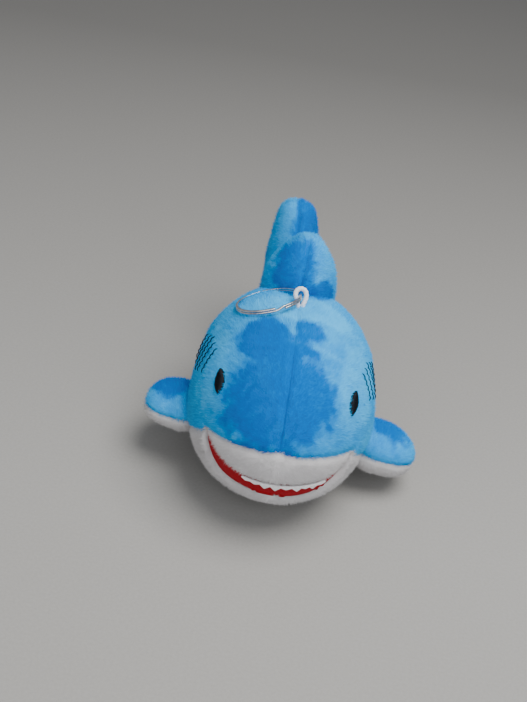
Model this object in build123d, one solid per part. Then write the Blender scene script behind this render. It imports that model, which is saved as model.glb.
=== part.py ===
from build123d import *
import os
from math import asin, cos, degrees, radians, sin, sqrt

# A small stuffed shark on a key ring: pile-fabric panels sewn round loose fibre filling, stuffed
# fins that flop at their roots, a cord loop sewn into the back seam and a split ring.
# Millimetres. +Z is up and the nose points to -Y, so the shark's left side is +X.
# The origin is on the resting surface, under the centre of the whole shark.

# ---- driving dimensions ----
NOSE_Y = -70.5            # front of the muzzle
WIDEST_Y = -28.0          # where the body is fattest
BODY_RADIUS = 34.0        # there, both ways
BODY_AXIS_Z = 31.5        # less than the radius, because the belly is pressed flat
NOSE_RADIUS = 27.0        # rounding of the muzzle's front
BACK_RADIUS = 105.0       # rounding of the flanks behind the widest place
STOCK_START_Y = 28.0      # where the flanks turn into the hollow-sided tail stock
STOCK_END_Y = 41.0        # open rear end of the body, where the tail is sewn in
STOCK_RADIUS = 11.2       # there

FABRIC = 1.6              # backing and pile of a panel
FILL_GAP = 0.1            # between a panel and the filling
LAYER_GAP = 0.02          # between a panel and what is stitched on it
STUFFING_END_Y = 33.0     # the filling stops short of the tail's root
EMBROIDERY = 0.7          # how far a satin stitch stands off the panel
FELT = 0.9                # felt of the teeth

# seam between blue back and white belly, as (y, z) in side view from mouth corner to tail
CORNER_X = 27.0
CORNER_Z = 34.5
SIDE_SEAM = ((-56.0, CORNER_Z), (-46.0, 27.5), (-36.0, 21.0), (-20.0, 18.5), (5.0, 21.5),
             (STOCK_END_Y + 2.0, 30.0))
# the face, in front view: heights on the centre line; all three lines end at the corners
BROW_SEAM_Z = 39.8
BROW_POWER = 2.0
LIP_TOP_Z = 26.6          # lower edge of the muzzle
LIP_TOP_POWER = 4.0
LIP_BOTTOM_Z = 20.0       # upper edge of the chin
LIP_BOTTOM_RIGHT_POWER = 7.0      # the grin is wider open on the shark's right
LIP_BOTTOM_LEFT_POWER = 2.3
FACE_STEPS = 8            # straight cuts on each side of a face line

TOOTH_X = (-9.4, -6.2, -2.6, 1.1, 4.8, 8.6, 11.4, 13.9, 16.6)     # tooth tips across the mouth
TOOTH_DROP = 2.2          # how far a tip hangs below the muzzle's edge
TOOTH_HALF_WIDTH = 1.5
TOOTH_STRIP = 1.2         # felt that lies above the muzzle's edge

EYE_CENTRE = (24.0, -46.5, 50.4)
EYE_HALF_WIDTH = 2.5
EYE_HALF_LENGTH = 4.8
EYE_LONG_AXIS = (0.0, 0.866, 0.5)   # up and back
GILL_COUNT = 5
GILL_TOP = (-22.5, 51.5)      # (y, z) of the middle stripe's ends, in side view
GILL_BOTTOM = (-29.5, 41.5)
GILL_STEP = (4.5, -1.6)       # (y, z) from each stripe to the one behind it
GILL_WIDTH = 0.7

ROOT_GAP = 0.4            # clearance round the rounded root of a fin
# each fin: hinge centre, radius of its rounded root, reach past the hinge, radius of its tip
DORSAL_HINGE = (0.0, 14.0, 55.5)
DORSAL_ROOT = 14.0
DORSAL_REACH = 23.5
DORSAL_TIP = 5.6
DORSAL_LEAN = 12.0        # towards the tail

PECTORAL_Y = -23.0
# by side: 1 is the shark's left, -1 its right, where the fin is sewn on higher and stands level
PECTORAL_Z = {1: 16.0, -1: 18.0}
PECTORAL_HINGE_X = {1: 33.5, -1: 33.48}
PECTORAL_DROOP = {1: 16.0, -1: -2.0}
PECTORAL_ROOT = 7.4
PECTORAL_REACH = 17.9
PECTORAL_TIP = 4.8
PECTORAL_CHORD = 27.0
PECTORAL_CORNER = 11.0    # rounding of its outer corners in plan
PECTORAL_SWEEP = 10.0
PECTORAL_PITCH = 10.0     # front edge up

TAIL_HINGE_Y = 44.0
TAIL_AXIS = Axis((0, TAIL_HINGE_Y, 0), (0, 0, 1))
TAIL_ROOT = 8.8
TAIL_BEND = 10.0          # the whole tail is bent to the shark's right
TAIL_TIP_Y = 71.7         # before it is bent
LOBE_START_Y = 53.5
UPPER_LOBE = dict(z=38.5, root=11.0, reach=33.0, tip=7.8)
UPPER_LOBE_LEAN = degrees(asin((TAIL_TIP_Y - LOBE_START_Y - UPPER_LOBE["tip"])
                               / (UPPER_LOBE["reach"] - UPPER_LOBE["tip"])))
LOWER_LOBE = dict(z=25.5, root=8.4, reach=17.2, tip=5.2)
LOWER_LOBE_LEAN = 141.0

LOOP_FOOT = (0.5, -11.0, 63.5)     # where the cord loop leaves the back seam
LOOP_LEAN = 35.0          # towards the tail
LOOP_CORD = 1.7           # cord diameter
LOOP_FOOT_RADIUS = 1.0    # centre-line radius at the foot, where both legs meet
LOOP_EYE_RADIUS = 2.2     # centre-line radius at the top
LOOP_HEIGHT = 5.0         # foot centre to eye centre
LOOP_DIMPLE = 2.6         # radius of the dimple that the foot sits in

RING_OUTER = 25.0         # a 25 mm split ring
RING_WIRE_WIDTH = 1.0     # radial
RING_WIRE_HEIGHT = 0.8    # one coil; the ring has two
RING_ON_LOOP = 4.7        # from the loop's foot to the wire inside its eye
RING_PITCH = 13.5         # the ring slopes down towards the tail
RING_TILT = 20.0          # and down towards the shark's right side

BIG = 200.0


def tangent_radius(big_start, small, reach):
    """Radius of the arc that starts square to the axis at big_start and runs into a small end arc."""
    return (big_start ** 2 + reach ** 2 - small ** 2) / (2 * (big_start - small))


def body_solid(grow, rear=STOCK_END_Y, floor=None):
    """The body's egg and tail stock with every face moved out by grow, and flat underneath."""
    nose_centre = Vector(0, NOSE_Y + NOSE_RADIUS)
    reach = WIDEST_Y - nose_centre.Y
    side_radius = tangent_radius(BODY_RADIUS, NOSE_RADIUS, reach)
    side_centre = Vector(BODY_RADIUS - side_radius, WIDEST_Y)
    back_centre = Vector(BODY_RADIUS - BACK_RADIUS, WIDEST_Y)
    run = STOCK_START_Y - WIDEST_Y
    back_turn = Vector(sqrt(BACK_RADIUS ** 2 - run ** 2), run) / BACK_RADIUS
    stock_start = back_centre + back_turn * BACK_RADIUS
    # the hollow arc of the tail stock: it leaves the back's arc smoothly and reaches the rear end
    end = Vector(STOCK_RADIUS, STOCK_END_Y)
    chord = end - stock_start
    stock_radius = chord.length ** 2 / (2 * chord.dot(back_turn))
    stock_centre = stock_start + back_turn * stock_radius
    stock_end = (end - stock_centre).normalized()

    nose_turn = (nose_centre - side_centre).normalized()
    p_nose = nose_centre - Vector(0, NOSE_RADIUS + grow)
    p_cheek = nose_centre + nose_turn * (NOSE_RADIUS + grow)
    p_wide = Vector(BODY_RADIUS + grow, WIDEST_Y)
    p_stock = stock_start + back_turn * grow
    p_end = stock_centre + stock_end * (stock_radius - grow)
    nose_middle = nose_centre + (nose_turn - Vector(0, 1)).normalized() * (NOSE_RADIUS + grow)
    cheek_middle = side_centre + (nose_turn + Vector(1, 0)).normalized() * (side_radius + grow)
    back_middle = back_centre + (back_turn + Vector(1, 0)).normalized() * (BACK_RADIUS + grow)
    stock_middle = stock_centre + (stock_end - back_turn).normalized() * (stock_radius - grow)
    with BuildSketch(Plane.XY) as profile:
        with BuildLine():
            ThreePointArc(p_nose, nose_middle, p_cheek)
            ThreePointArc(p_cheek, cheek_middle, p_wide)
            ThreePointArc(p_wide, back_middle, p_stock)
            ThreePointArc(p_stock, stock_middle, p_end)
            Polyline(p_end, (p_end.X, rear + 0.5), (0, rear + 0.5), p_nose)
        make_face()
    solid = Pos(0, 0, BODY_AXIS_Z) * revolve(profile.sketch, Axis.Y)
    base = -grow if floor is None else floor
    solid &= Pos(0, 0, base + BIG / 2) * Box(BIG, BIG, BIG)
    return solid & Pos(0, rear - BIG / 2, BIG / 2 - 10) * Box(BIG, BIG, BIG)


def bullet_edges(root, reach, tip, inset):
    """Half outline of a round-rooted taper in X and Y, from behind the origin to its tip on +Y."""
    flank = tangent_radius(root, tip, reach - tip)
    flank_centre = Vector(root - flank, 0)
    tip_centre = Vector(0, reach - tip)
    turn = (tip_centre - flank_centre).normalized()
    start = Vector(0, inset - root)
    side = Vector(root - inset, 0)
    shoulder = tip_centre + turn * (tip - inset)
    point = tip_centre + Vector(0, tip - inset)
    flank_middle = flank_centre + (turn + Vector(1, 0)).normalized() * (flank - inset)
    tip_middle = tip_centre + (turn + Vector(0, 1)).normalized() * (tip - inset)
    root_middle = Vector(1, -1).normalized() * (root - inset)
    return (Edge.make_three_point_arc(start, root_middle, side),
            Edge.make_three_point_arc(side, flank_middle, shoulder),
            Edge.make_three_point_arc(shoulder, tip_middle, point))


def bullet(root, reach, tip, inset=0.0):
    """A round stuffed taper along +Z."""
    edges = bullet_edges(root, reach, tip, inset)
    edges = [*edges, Edge.make_line(edges[-1] @ 1, edges[0] @ 0)]
    face = Plane.XZ * make_face(edges)
    return revolve(face, Axis.Z)


def fin_layers(make):
    """The skin as one hollow solid, and the filling, from a function of the inset."""
    return make(0.0) - make(FABRIC), make(FABRIC + FILL_GAP)


def half(solid, direction, centre=(0, 0, 0)):
    """The part of a solid on the side of a plane through centre that direction points to."""
    space = Box(BIG, BIG, BIG, align=(Align.CENTER, Align.CENTER, Align.MIN))
    return solid & Plane(origin=centre, z_dir=direction) * space


def only_large(solid, smallest=2.0):
    """Drops crumbs that a cut leaves behind."""
    keep = [piece for piece in solid.solids() if piece.volume > smallest]
    return keep[0] if len(keep) == 1 else Compound(children=keep)


# ---- seams and face lines ----
def face_height(x, centre_z, power):
    return centre_z + (CORNER_Z - centre_z) * abs(x / CORNER_X) ** power


def face_line(centre_z, right_power, left_power):
    """Points of a line across the face, in front view, that ends at both mouth corners."""
    line = []
    for i in range(-FACE_STEPS, FACE_STEPS + 1):
        x = CORNER_X * i / FACE_STEPS
        line.append((x, face_height(x, centre_z, right_power if x < 0 else left_power)))
    return line


def front_prism(points):
    """The front half of space inside an outline in front view."""
    face = Plane.XZ * make_face(Polyline(points, close=True))
    return Pos(0, WIDEST_Y - 10, 0) * extrude(face, amount=BIG / 2, dir=(0, -1, 0))


def back_prism():
    """Space above the side seam, from nose to tail."""
    front = (NOSE_Y - 10, CORNER_Z)
    end = SIDE_SEAM[-1]
    outline = Polyline([front, *SIDE_SEAM, (end[0], BIG), (front[0], BIG)], close=True)
    return extrude(Plane.YZ * make_face(outline), amount=BIG, both=True)


# ---- fins ----
def dorsal_place():
    return Pos(*DORSAL_HINGE) * Rot(-DORSAL_LEAN, 0, 0)


def dorsal_solid(inset):
    return dorsal_place() * bullet(DORSAL_ROOT, DORSAL_REACH, DORSAL_TIP, inset)


def pectoral_place(side):
    """Frame at the fin's hinge: X out along the fin, Y along its chord, Z out of its top."""
    sweep = PECTORAL_SWEEP if side > 0 else 180 - PECTORAL_SWEEP
    turn = Rot(0, 0, sweep) * Rot(0, PECTORAL_DROOP[side], 0) * Rot(-side * PECTORAL_PITCH, 0, 0)
    return Pos(side * PECTORAL_HINGE_X[side], PECTORAL_Y, PECTORAL_Z[side]) * turn


def pectoral_solid(side, inset):
    """A tapering slab with a round root, rounded in plan at its outer corners."""
    edges = bullet_edges(PECTORAL_ROOT, PECTORAL_REACH, PECTORAL_TIP, inset)
    mirrored = [edge.mirror(Plane.YZ) for edge in edges]
    section = Plane(origin=(0, 0, 0), x_dir=(0, 0, 1), z_dir=(0, 1, 0)) * make_face([*edges, *mirrored])
    slab = extrude(section, amount=PECTORAL_CHORD / 2 - inset, both=True)
    inner_end = -PECTORAL_ROOT - 1.0
    length = PECTORAL_REACH + 1.0 - inset - inner_end     # clear of the slab's rounded tip
    plan = Pos(inner_end + length / 2, 0) * Rectangle(length, PECTORAL_CHORD - 2 * inset)
    outer = plan.vertices().sort_by(Axis.X)[-2:]
    plan = fillet(outer, PECTORAL_CORNER - inset)
    return pectoral_place(side) * (slab & extrude(plan, amount=BIG / 4, both=True))


def lobe(spec, lean, inset):
    place = Pos(0, LOBE_START_Y, spec["z"]) * Rot(-lean, 0, 0)
    return place * bullet(spec["root"], spec["reach"], spec["tip"], inset)


def tail_solid(inset):
    """Ball-ended root inside the body's rear opening, and two lobes, one above the other."""
    root = Pos(0, TAIL_HINGE_Y, BODY_AXIS_Z) * Sphere(TAIL_ROOT - inset)
    straight = root + lobe(UPPER_LOBE, UPPER_LOBE_LEAN, inset) + lobe(LOWER_LOBE, LOWER_LOBE_LEAN, inset)
    return straight.rotate(TAIL_AXIS, TAIL_BEND)


# ---- loop and ring ----
def loop_solid():
    """A closed teardrop of cord that stands on its narrow end."""
    lean_in = (LOOP_EYE_RADIUS - LOOP_FOOT_RADIUS) / LOOP_HEIGHT
    side_x = sqrt(1 - lean_in ** 2)
    foot = (LOOP_FOOT_RADIUS * side_x, -LOOP_FOOT_RADIUS * lean_in)
    eye = (LOOP_EYE_RADIUS * side_x, LOOP_HEIGHT - LOOP_EYE_RADIUS * lean_in)
    with BuildLine(Plane.XZ) as route:
        Line(foot, eye)
        ThreePointArc(eye, (0, LOOP_HEIGHT + LOOP_EYE_RADIUS), (-eye[0], eye[1]))
        Line((-eye[0], eye[1]), (-foot[0], foot[1]))
        ThreePointArc((-foot[0], foot[1]), (0, -LOOP_FOOT_RADIUS), foot)
    start = Plane(origin=route.wire() @ 0, z_dir=route.wire() % 0)
    cord = sweep(start * Circle(LOOP_CORD / 2), path=route.wire())
    return Pos(*LOOP_FOOT) * Rot(-LOOP_LEAN, 0, 0) * cord


def ring_place():
    """Frame at the wire inside the loop's eye; the ring lies towards -X of it."""
    x, y, z = LOOP_FOOT
    lean = radians(LOOP_LEAN)
    wire = (x, y + RING_ON_LOOP * sin(lean), z + RING_ON_LOOP * cos(lean))
    return Pos(*wire) * Rot(-RING_PITCH, 0, 0) * Rot(0, -RING_TILT, 0)


def ring_solid():
    """Two coils of flat wire lying on each other, with the groove between them."""
    middle = (RING_OUTER - RING_WIRE_WIDTH) / 2
    with BuildSketch(Plane.XZ) as section:
        for side in (-1, 1):
            with Locations((middle, side * RING_WIRE_HEIGHT / 2)):
                RectangleRounded(RING_WIRE_WIDTH, RING_WIRE_HEIGHT + 0.02, 0.3)
    return ring_place() * Pos(-middle, 0, 0) * revolve(section.sketch, Axis.Z)


# ---- surface details ----
def surface_layer(height):
    return body_solid(height, floor=1.0) - body_solid(LAYER_GAP)


def eye_solid(layer):
    """A pointed oval of satin stitch on the left side, its long axis running up and back."""
    centre = Vector(*EYE_CENTRE)
    normal = (centre - Vector(0, WIDEST_Y, BODY_AXIS_Z)).normalized()
    plane = Plane(origin=centre, x_dir=Vector(*EYE_LONG_AXIS).cross(normal), z_dir=normal)
    bulge = (EYE_HALF_LENGTH ** 2 - EYE_HALF_WIDTH ** 2) / (2 * EYE_HALF_WIDTH)
    radius = EYE_HALF_WIDTH + bulge
    with BuildSketch(plane) as oval:
        with Locations((bulge, 0)):
            Circle(radius)
        with Locations((-bulge, 0)):
            Circle(radius, mode=Mode.INTERSECT)
    return extrude(oval.sketch, amount=5.0, both=True) & layer


def gill_solids(layer):
    """Thin stitched stripes behind the left eye, side by side."""
    top = Vector(*GILL_TOP)
    bottom = Vector(*GILL_BOTTOM)
    along = (top - bottom).normalized()
    stripes = []
    for i in range(GILL_COUNT):
        step = i - (GILL_COUNT - 1) / 2
        middle = (top + bottom) * 0.5 + Vector(*GILL_STEP) * step
        length = (top - bottom).length - 1.8 * abs(step)
        place = Plane(origin=(0, middle.X, middle.Y), x_dir=(0, along.X, along.Y), z_dir=(1, 0, 0))
        blade = extrude(place * Rectangle(length, GILL_WIDTH), amount=BIG / 2)
        stripes.extend((blade & layer).solids())
    return Compound(children=stripes)


def tooth_strip(layer):
    """Small felt teeth in a row, hanging from the muzzle's edge over the mouth."""
    first = TOOTH_X[0] - TOOTH_HALF_WIDTH
    last = TOOTH_X[-1] + TOOTH_HALF_WIDTH

    def edge(x, offset):
        return (x, face_height(x, LIP_TOP_Z, LIP_TOP_POWER) + offset)

    points = [edge(first, TOOTH_STRIP)]
    for x in TOOTH_X:
        points.append(edge(x - TOOTH_HALF_WIDTH, 0.2))
        points.append(edge(x, -TOOTH_DROP))
    points.append(edge(last, 0.2))
    points.append(edge(last, TOOTH_STRIP))
    points.append(edge(0, TOOTH_STRIP))
    return front_prism(points) & layer


def build():
    parts = {}
    # body: sewn skin, filling, and the recesses that the roots of fins and loop sit in
    skin = body_solid(0.0) - body_solid(-FABRIC, rear=STOCK_END_Y + 1.0)
    filling = half(body_solid(-FABRIC - FILL_GAP), (0, -1, 0), centre=(0, STUFFING_END_Y, 0))
    recesses = [dorsal_place() * Sphere(DORSAL_ROOT + ROOT_GAP), Pos(*LOOP_FOOT) * Sphere(LOOP_DIMPLE)]
    for side in (-1, 1):
        trough = Rot(90, 0, 0) * Cylinder(PECTORAL_ROOT + ROOT_GAP, PECTORAL_CHORD + 2 * ROOT_GAP)
        recesses.append(pectoral_place(side) * trough)
    for recess in recesses:
        skin -= recess
        filling -= recess
    brow = face_line(BROW_SEAM_Z, BROW_POWER, BROW_POWER)
    upper_lip = face_line(LIP_TOP_Z, LIP_TOP_POWER, LIP_TOP_POWER)
    lower_lip = face_line(LIP_BOTTOM_Z, LIP_BOTTOM_RIGHT_POWER, LIP_BOTTOM_LEFT_POWER)
    muzzle_space = front_prism([*brow, *upper_lip[-2:0:-1]])
    mouth_space = front_prism([*upper_lip, *lower_lip[-2:0:-1]])
    above_seam = back_prism()
    parts["muzzle_panel"] = only_large(skin & muzzle_space)
    parts["mouth_lining"] = only_large(skin & mouth_space)
    plain = skin - muzzle_space - mouth_space
    back = plain & above_seam
    parts["back_panel_left"] = only_large(half(back, (1, 0, 0)))
    parts["back_panel_right"] = only_large(half(back, (-1, 0, 0)))
    parts["belly_panel"] = only_large(plain - above_seam)
    parts["body_stuffing"] = only_large(filling)
    # face and gills
    thread = surface_layer(EMBROIDERY)
    parts["teeth"] = only_large(tooth_strip(surface_layer(FELT)), smallest=0.05)
    for name, detail in (("eye", eye_solid(thread)), ("gill_stitches", gill_solids(thread))):
        parts[name + "_left"] = only_large(detail, smallest=0.05)
        parts[name + "_right"] = only_large(mirror(detail, about=Plane.YZ), smallest=0.05)
    # pectoral fins: blue above, white below, the seam in the fin's own middle plane
    for side, name in ((1, "left"), (-1, "right")):
        fin_skin, fin_fill = fin_layers(lambda inset: pectoral_solid(side, inset))
        above = pectoral_place(side) * Pos(0, 0, BIG / 2) * Box(BIG, BIG, BIG)
        parts[f"pectoral_fin_{name}_top"] = only_large(fin_skin & above)
        parts[f"pectoral_fin_{name}_underside"] = only_large(fin_skin - above)
        parts[f"pectoral_fin_{name}_stuffing"] = only_large(fin_fill)
    # dorsal and tail fins: left and right panels meet on the fin's own centre plane
    for name, make, bend in (("dorsal_fin", dorsal_solid, 0.0), ("tail_fin", tail_solid, TAIL_BEND)):
        fin_skin, fin_fill = fin_layers(make)
        left = Vector(1, 0, 0).rotate(Axis.Z, bend)
        parts[f"{name}_left_panel"] = only_large(half(fin_skin, left, centre=(0, TAIL_HINGE_Y, 0)))
        parts[f"{name}_right_panel"] = only_large(half(fin_skin, -left, centre=(0, TAIL_HINGE_Y, 0)))
        parts[f"{name}_stuffing"] = only_large(fin_fill)
    parts["cord_loop"] = loop_solid()
    parts["split_ring"] = ring_solid()
    return parts


os.makedirs("parts", exist_ok=True)
sub_parts = build()
for node, shape in sub_parts.items():
    export_step(shape, f"parts/{node}.step")
whole = Compound(children=[Compound(children=shape.solids()) for shape in sub_parts.values()])
box = whole.bounding_box()
print("box", [round(v, 2) for v in (*box.min, *box.max)])
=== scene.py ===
import math
import random
import bmesh
import bpy
import numpy as np
from mathutils import Matrix, Vector, noise
from mathutils.bvhtree import BVHTree


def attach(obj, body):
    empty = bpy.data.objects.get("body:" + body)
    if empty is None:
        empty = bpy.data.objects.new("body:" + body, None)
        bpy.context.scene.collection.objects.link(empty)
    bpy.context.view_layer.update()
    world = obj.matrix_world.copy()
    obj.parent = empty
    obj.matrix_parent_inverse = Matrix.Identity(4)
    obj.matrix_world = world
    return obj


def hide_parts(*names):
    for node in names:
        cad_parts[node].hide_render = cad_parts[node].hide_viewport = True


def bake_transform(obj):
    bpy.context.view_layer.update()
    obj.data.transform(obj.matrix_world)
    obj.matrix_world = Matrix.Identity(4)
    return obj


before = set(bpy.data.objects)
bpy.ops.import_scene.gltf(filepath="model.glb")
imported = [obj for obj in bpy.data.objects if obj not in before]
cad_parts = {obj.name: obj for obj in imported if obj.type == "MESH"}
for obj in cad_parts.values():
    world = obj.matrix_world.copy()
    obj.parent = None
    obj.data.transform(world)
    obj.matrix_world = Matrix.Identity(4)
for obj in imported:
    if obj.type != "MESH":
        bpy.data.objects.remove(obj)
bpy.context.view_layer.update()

# A small plush shark on a key ring. Shapes are worked out in millimetres in the CAD model's frame
# (nose to -Y, up +Z, the shark's left side +X) and written to the meshes in metres.
MM = 0.001

# ---- camera and lights: metres, degrees and watts; the lens in mm ----
CAMERA_AZIMUTH, CAMERA_ELEVATION, CAMERA_ROLL = -2.0, 34.0, -10.5
CAMERA_DISTANCE, CAMERA_LENS = 0.45, 62.0
CAMERA_SLIDE = (-0.0066, 0.0196)    # of the aim point, right and up in the picture
LIGHTS = (                          # name, place, size, power, colour
    ("key", (0.20, -0.06, 0.75), 0.6, 9.0, (1.0, 0.99, 0.97)),
    ("fill", (0.30, -0.80, 0.50), 0.9, 3.6, (0.95, 0.97, 1.0)),
    ("front", (-0.35, -0.9, 0.35), 0.8, 2.8, (1.0, 1.0, 1.0)),
)
ROOM_COLOUR, ROOM_LIGHT = (0.80, 0.84, 0.90), 0.42
PAPER = (0.278, 0.270, 0.257), (0.303, 0.296, 0.282)    # the floor's two mixed greys
PAPER_PAINTED_SHADE = (-0.06, 0.42, 0.53)    # painted shade: the paper darkens from this y to that y, to this part of its brightness

# ---- body: the same egg and tail stock as the CAD model ----
NOSE_Y, WIDEST_Y, STOCK_START_Y, STOCK_END_Y = -70.5, -28.0, 28.0, 41.0
BODY_RADIUS, NOSE_RADIUS, BACK_RADIUS, STOCK_RADIUS = 34.0, 27.0, 105.0, 11.2
BODY_AXIS_Z = 31.5
TAIL_CAP = 5.0                      # the stock's closed end, hidden inside the tail fin
BELLY_SOFTNESS = 1.6                # how gradually the belly turns into its resting flat
BODY_GRID = 84                      # cells along each side of the body's six patches

# ---- face and seams ----
CORNER_X, CORNER_Z = 27.0, 34.5
BROW_Z, LIP_TOP_Z, LIP_BOTTOM_Z = 39.8, 27.4, 19.8
BROW_POWER = 2.0
LIP_TOP_POWER = {1: 9.0, -1: 4.0}              # by side: 1 is the shark's left, -1 its right
LIP_BOTTOM_POWER = {1: 5.0, -1: 7.0}
SIDE_SEAM_Y = (-56.0, -46.0, -36.0, -20.0, 5.0, 43.0)
SIDE_SEAM_Z = (CORNER_Z, 27.5, 21.0, 18.5, 21.5, 30.0)
FACE_END_Y = -40.0                  # the face's seams lie in front of this
DART_Y, DART_LEFT_X, DART_RIGHT_X = -36.0, 23.0, 14.0
SEAM_DEPTH, SEAM_WIDTH = 1.0, 1.35
CENTRE_SEAM_DEPTH, DART_DEPTH, MOUTH_DEPTH, FIN_SEAM_DEPTH = 0.5, 0.85, 1.35, 0.4
CHIN_TUCK = 1.3
SHOULDER_Y, SHOULDER_LENGTH, SHOULDER_SWELL = -2.0, 17.0, 1.9    # the back is stuffed fuller here

# ---- pile ----
PILE_LENGTH = 1.55
PILE_WIDTH = 0.20
PILE_SUNK = 0.15                    # how far a blade's foot sinks into the cloth
PILE_DENSITY = 6.5   # blades per square millimetre
TONES = 7
CLOTH_THICKNESS = 0.8
FLOOR_CLEARANCE = 0.05              # of the pile's tips
CLOTH_FLOOR_Z, PILE_FLOOR_Z = 0.12, 0.35    # lowest cloth, and lowest place where pile grows
BODY_SEED = 11
# dark, middle and light tone of each cloth; on the blue cloth the dark and light ends also hold the
# painted nap shade and painted highlights
BLUE = ((0.000, 0.125, 0.470), (0.000, 0.250, 0.640), (0.045, 0.470, 0.860))
WHITE = ((0.360, 0.350, 0.355), (0.500, 0.485, 0.490), (0.640, 0.630, 0.635))


# ============================ helpers ============================
def new_object(name, data):
    obj = bpy.data.objects.new(name, data)
    bpy.context.scene.collection.objects.link(obj)
    return obj


def mesh_object(name, verts, faces):
    """A smooth-shaded object from millimetre points and faces."""
    mesh = bpy.data.meshes.new(name)
    mesh.from_pydata([tuple(v) for v in np.asarray(verts) * MM], [], [tuple(f) for f in faces])
    mesh.validate()
    mesh.update()
    mesh.shade_smooth()
    return new_object(name, mesh)


def along_profile(height, radius, cosine):
    """Where a direction with this cosine to the axis lands on a round profile, by length along it."""
    length = np.concatenate([[0], np.cumsum(np.hypot(np.diff(height), np.diff(radius)))])
    at = np.arccos(np.clip(cosine, -1, 1)) / math.pi * length[-1]
    return np.interp(at, length, height), np.interp(at, length, radius)


def tangent_radius(start, small, reach):
    """Radius of the arc that leaves a circle of radius start sideways and meets one of radius small."""
    return (start ** 2 + reach ** 2 - small ** 2) / (2 * (start - small))


def vertex_vectors(mesh, key):
    values = np.empty(len(mesh.vertices) * 3)
    mesh.vertices.foreach_get(key, values)
    return values.reshape(-1, 3)


def points_of(mesh):
    return vertex_vectors(mesh, "co") / MM


def normals_of(mesh):
    return vertex_vectors(mesh, "normal")


def bare_mesh(verts, faces):
    """A mesh for measuring only, left in millimetres; its user removes it."""
    mesh = bpy.data.meshes.new("tmp")
    mesh.from_pydata([tuple(v) for v in verts], [], faces)
    mesh.update()
    return mesh


def unit(v):
    return v / np.maximum(np.linalg.norm(v, axis=-1, keepdims=True), 1e-9)


def lumps(points, size, seed=0.0):
    """Smooth noise between about -1 and 1, one value per point; size is the lump's width in mm."""
    return np.array([noise.noise(Vector(p) / size + Vector((seed, seed * 0.7, -seed))) for p in points])


def sphere_grid(cells):
    """Evenly spread directions on a sphere made from a cube's six faces, and the quads between them."""
    index, directions, quads = {}, [], []
    steps = [math.tan(math.pi / 4 * (2 * i / cells - 1)) for i in range(cells + 1)]
    for axis in range(3):
        for side in (-1, 1):
            grid = []
            for a in steps:
                row = []
                for b in steps:
                    v = [0.0, 0.0, 0.0]
                    v[axis] = side
                    v[(axis + 1) % 3] = a * side
                    v[(axis + 2) % 3] = b
                    d = Vector(v).normalized()
                    key = (round(d.x, 5), round(d.y, 5), round(d.z, 5))
                    if key not in index:
                        index[key] = len(directions)
                        directions.append(tuple(d))
                    row.append(index[key])
                grid.append(row)
            for i in range(cells):
                for j in range(cells):
                    quads.append((grid[i][j], grid[i + 1][j], grid[i + 1][j + 1], grid[i][j + 1]))
    return np.array(directions), quads


def cut_along(bm, field):
    """Adds an edge line to the mesh where field, a function of points in mm, is zero."""
    bm.verts.ensure_lookup_table()
    values = field(np.array([v.co[:] for v in bm.verts]) / MM)
    near = 0.04
    value = {v: (0.0 if abs(x) < near else x) for v, x in zip(bm.verts, values)}
    for edge in list(bm.edges):
        a, b = edge.verts
        if value[a] * value[b] < 0:
            part = value[a] / (value[a] - value[b])
            _, new = bmesh.utils.edge_split(edge, a, part)
            value[new] = 0.0
    for face in list(bm.faces):
        zero = [v for v in face.verts if value[v] == 0.0]
        if len(zero) != 2:
            continue
        a, b = zero
        if any(b in e.verts for e in a.link_edges if e in face.edges):
            continue
        if any(value[v] > 0 for v in face.verts) and any(value[v] < 0 for v in face.verts):
            bmesh.utils.face_split(face, a, b)


def split_regions(obj, region_of):
    """Splits an object's faces by region number; returns {number: (verts, faces)} in mm."""
    mesh = obj.data
    co = points_of(mesh)
    centres = np.array([p.center[:] for p in mesh.polygons]) / MM
    region = region_of(centres)
    found = {}
    for number in sorted(set(region.tolist())):
        faces = [mesh.polygons[i].vertices[:] for i in np.nonzero(region == number)[0]]
        used = sorted({v for f in faces for v in f})
        remap = {v: i for i, v in enumerate(used)}
        found[number] = (co[used], [tuple(remap[v] for v in f) for f in faces])
    return found


def thicken(obj, thickness):
    """Gives an open panel a thickness inwards, in mm."""
    mod = obj.modifiers.new("cloth", "SOLIDIFY")
    mod.thickness = thickness * MM
    mod.offset = -1.0
    mod.use_even_offset = False
    apply_modifiers(obj)


def apply_modifiers(obj):
    deps = bpy.context.evaluated_depsgraph_get()
    deps.update()
    mesh = bpy.data.meshes.new_from_object(obj.evaluated_get(deps))
    obj.modifiers.clear()
    old = obj.data
    obj.data = mesh
    mesh.name = obj.name
    bpy.data.meshes.remove(old)


# ============================ materials ============================
def principled(name, colour, roughness, sheen=0.0, sheen_tint=(1, 1, 1),
               metallic=0.0, specular=0.25):
    mat = bpy.data.materials.new(name)
    mat.use_nodes = True
    shader = mat.node_tree.nodes["Principled BSDF"]
    shader.inputs["Base Color"].default_value = (*colour, 1)
    shader.inputs["Roughness"].default_value = roughness
    shader.inputs["Metallic"].default_value = metallic
    shader.inputs["Sheen Weight"].default_value = sheen
    shader.inputs["Sheen Roughness"].default_value = 0.45
    shader.inputs["Sheen Tint"].default_value = (*sheen_tint, 1)
    shader.inputs["Specular IOR Level"].default_value = specular
    return mat, shader


def add_node(mat, kind, **values):
    node = mat.node_tree.nodes.new(kind)
    for key, value in values.items():
        if key in node.inputs:
            node.inputs[key].default_value = value
        else:
            setattr(node, key, value)
    return node


def object_noise(mat, scale, detail=4.0, roughness=0.6):
    """A noise texture in object space; scale is per metre."""
    coords = add_node(mat, "ShaderNodeTexCoord")
    tex = add_node(mat, "ShaderNodeTexNoise", Scale=scale, Detail=detail, Roughness=roughness)
    mat.node_tree.links.new(coords.outputs["Object"], tex.inputs["Vector"])
    return tex


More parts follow.
